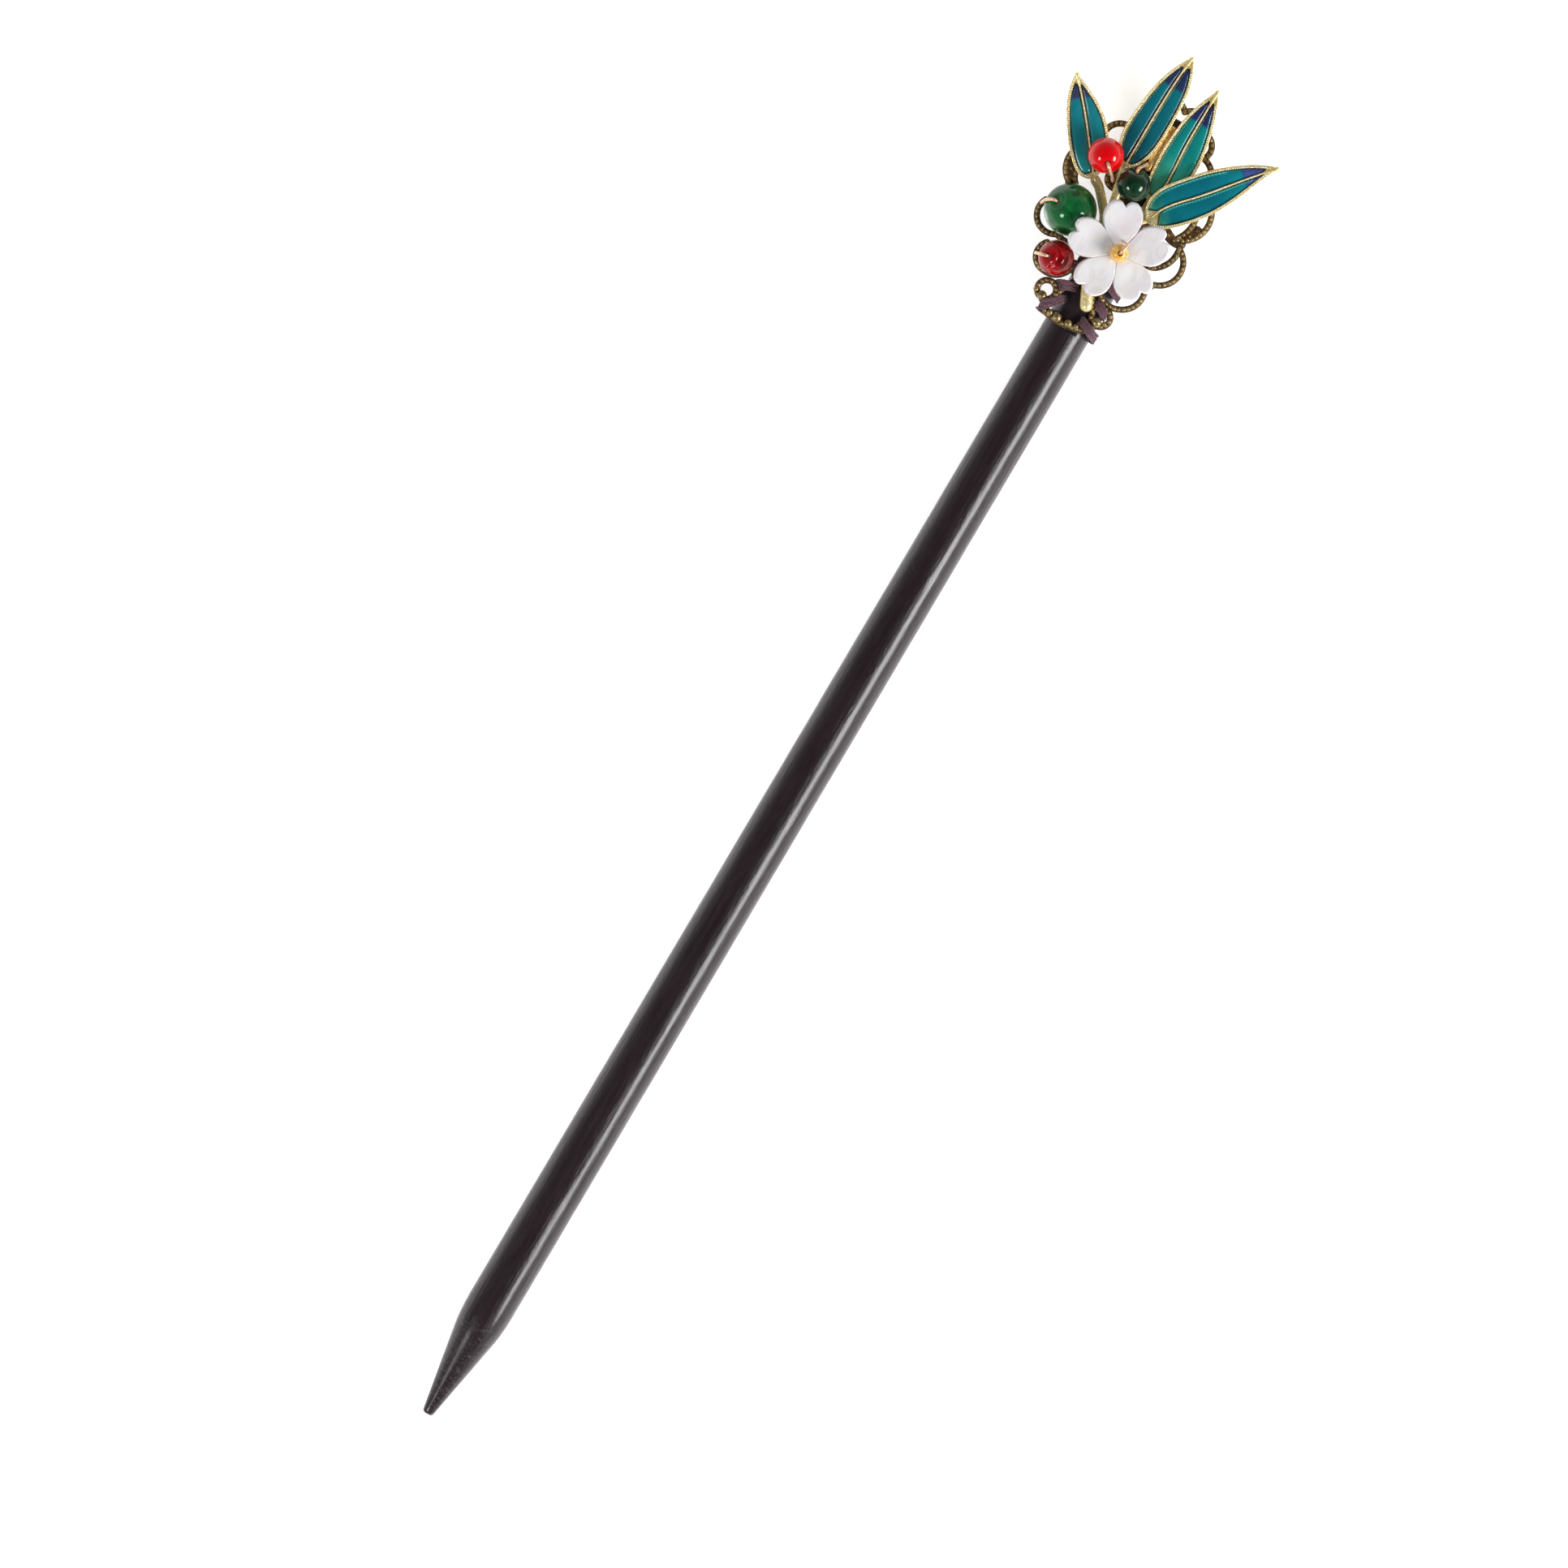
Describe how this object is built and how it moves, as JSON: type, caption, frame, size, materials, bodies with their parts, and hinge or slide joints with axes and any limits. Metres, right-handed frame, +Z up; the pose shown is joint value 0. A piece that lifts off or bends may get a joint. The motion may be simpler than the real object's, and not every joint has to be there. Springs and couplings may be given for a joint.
{
  "type": "hair stick",
  "caption": "Straight wooden hair stick with a blunt point and a pierced metal head that carries enamelled leaves, a carved shell blossom and round glass beads.",
  "frame": {"origin": "centre of the part's footprint, on the surface that it lies on", "axes": "+Y runs along the stick from its point to the ornament, +X across it to the right when the ornament faces up, +Z up out of the ornament's face"},
  "size_m": [0.0272, 0.1892, 0.0141],
  "materials": {
    "lacquered_wood": "dark brown, near black lacquer, glossy",
    "antique_bronze": "darkened cast bronze, worn bright on the raised granules",
    "gilt_metal": "pale gilt, polished",
    "teal_enamel": "fired teal enamel that turns indigo at the leaf tips, glossy",
    "rose_gold_wire": "bright rose-gold coloured wire",
    "red_glass": "opaque red glass, glossy",
    "green_glass": "dark green glass, glossy",
    "mother_of_pearl": "white mother-of-pearl, silky",
    "amber_glass": "amber glass, glossy",
    "dark_thread": "dark aubergine twisted thread, matt"
  },
  "bodies": {
    "root": {"stick": "lacquered_wood", "filigree_base": "antique_bronze", "leaf_spray": "gilt_metal", "enamel_leaf1_left": "teal_enamel", "enamel_leaf1_right": "teal_enamel", "enamel_leaf2_left": "teal_enamel", "enamel_leaf2_right": "teal_enamel", "enamel_leaf3_left": "teal_enamel", "enamel_leaf3_right": "teal_enamel", "enamel_leaf4_left": "teal_enamel", "enamel_leaf4_right": "teal_enamel", "flower_centre_bead": "amber_glass", "flower_centre_wire": "rose_gold_wire", "green_bead_large": "green_glass", "green_bead_large_wire": "rose_gold_wire", "green_bead_small": "green_glass", "green_bead_small_wire": "rose_gold_wire", "red_bead_lower": "red_glass", "red_bead_lower_wire": "rose_gold_wire", "red_bead_upper": "red_glass", "red_bead_upper_wire": "rose_gold_wire", "shell_flower": "mother_of_pearl", "thread_lashing_low": "dark_thread", "thread_lashing_middle": "dark_thread", "thread_lashing_upper": "dark_thread"}
  },
  "joints": []
}
